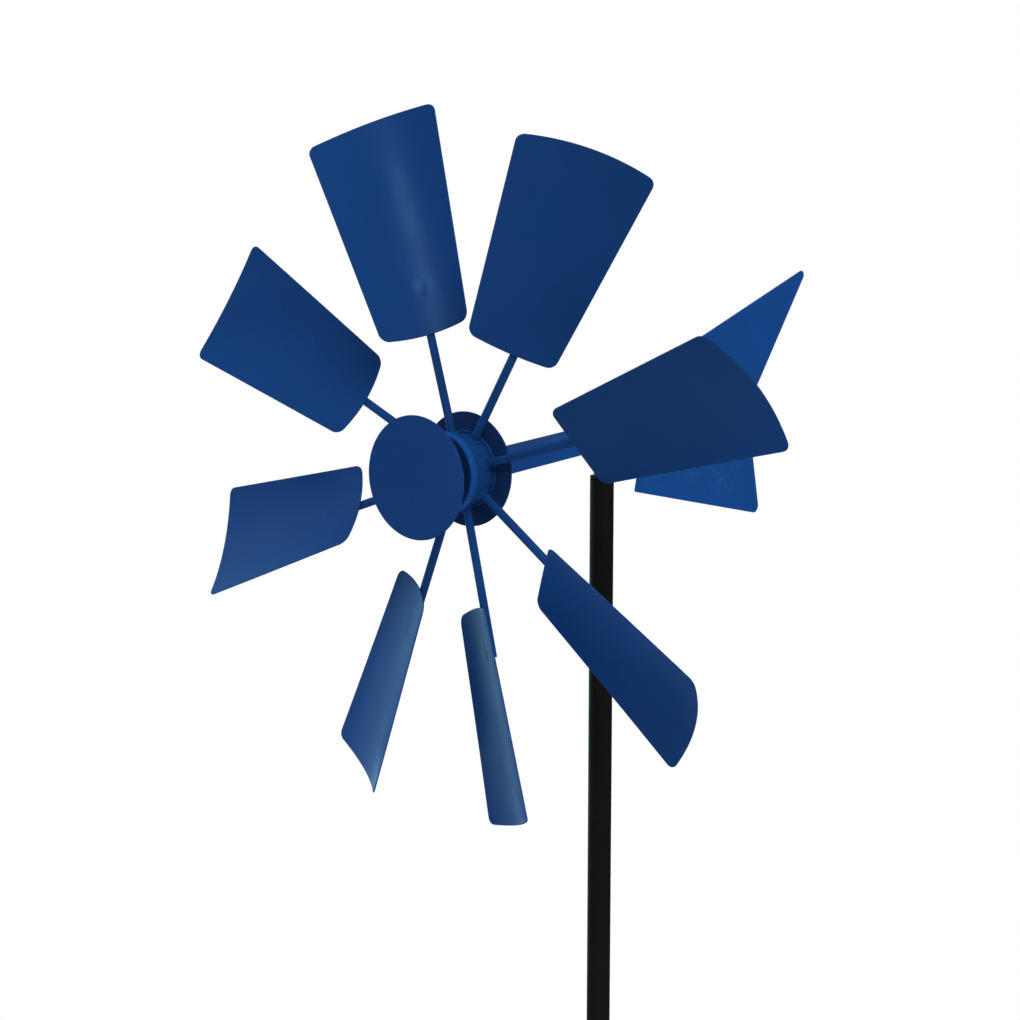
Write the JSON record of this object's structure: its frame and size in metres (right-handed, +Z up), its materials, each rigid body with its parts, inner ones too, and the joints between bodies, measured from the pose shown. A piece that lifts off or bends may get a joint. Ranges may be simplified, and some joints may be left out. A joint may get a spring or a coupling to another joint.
{
  "type": "garden windmill",
  "caption": "Garden windmill: cupped sheet blades on rod spokes turn on a spool hub, on a boom with a swallow-tailed fin that swings on a two-part stake post.",
  "frame": {"origin": "on the post's axis at ground level, where the foot enters the soil", "axes": "+Z up along the post, -Y the way the rotor faces at rest, +Y towards the tail fin, +X to the right seen from the front"},
  "size_m": [0.6234, 0.609, 1.7572],
  "materials": {
    "blade_paint": "satin deep blue powder coat",
    "hub_paint": "satin blue powder coat",
    "tail_paint": "satin brighter blue powder coat",
    "post_paint": "satin black powder coat",
    "zinc_steel": "bright zinc plate",
    "nylon": "natural nylon"
  },
  "bodies": {
    "post": {"post_upper": "post_paint", "post_lower": "post_paint", "post_joiner": "zinc_steel", "joiner_screw_upper": "zinc_steel", "joiner_screw_lower": "zinc_steel", "post_top_plug": "post_paint", "pivot_pin": "zinc_steel", "pivot_thrust_washer": "zinc_steel", "pivot_top_washer": "zinc_steel", "pivot_lock_nut": "zinc_steel", "step_left": "post_paint", "step_right": "post_paint", "prong_left": "post_paint", "prong_right": "post_paint", "centre_spike": "post_paint"},
    "head": {"boom": "tail_paint", "boom_front_plug": "zinc_steel", "axle_bolt": "zinc_steel", "axle_spacer": "zinc_steel", "rear_thrust_washer": "zinc_steel", "front_thrust_washer": "zinc_steel", "hub_lock_nut": "zinc_steel", "yaw_sleeve": "tail_paint", "yaw_bush_top": "nylon", "yaw_bush_bottom": "nylon", "tail_fin": "tail_paint", "tail_bolt_1": "zinc_steel", "tail_bolt_2": "zinc_steel", "tail_bolt_3": "zinc_steel", "tail_nut_1": "zinc_steel", "tail_nut_2": "zinc_steel", "tail_nut_3": "zinc_steel"},
    "rotor": {"blade_1": "blade_paint", "blade_2": "blade_paint", "blade_3": "blade_paint", "blade_4": "blade_paint", "blade_5": "blade_paint", "blade_6": "blade_paint", "blade_7": "blade_paint", "blade_8": "blade_paint", "spoke_1": "blade_paint", "spoke_2": "blade_paint", "spoke_3": "blade_paint", "spoke_4": "blade_paint", "spoke_5": "blade_paint", "spoke_6": "blade_paint", "spoke_7": "blade_paint", "spoke_8": "blade_paint", "hub_barrel": "hub_paint", "hub_flange": "tail_paint", "nose_tube": "hub_paint", "front_disc": "hub_paint", "rear_disc": "hub_paint", "hub_bush_front": "nylon", "hub_bush_rear": "nylon"}
  },
  "joints": [
    {"name": "head_yaw", "type": "hinge", "parent": "post", "child": "head", "pos_m": [0, 0, 1.2], "axis": [0, 0, 1], "continuous": true},
    {"name": "rotor_spin", "type": "hinge", "parent": "head", "child": "rotor", "pos_m": [0, -0.203, 1.2], "axis": [0, 1, 0], "continuous": true}
  ]
}
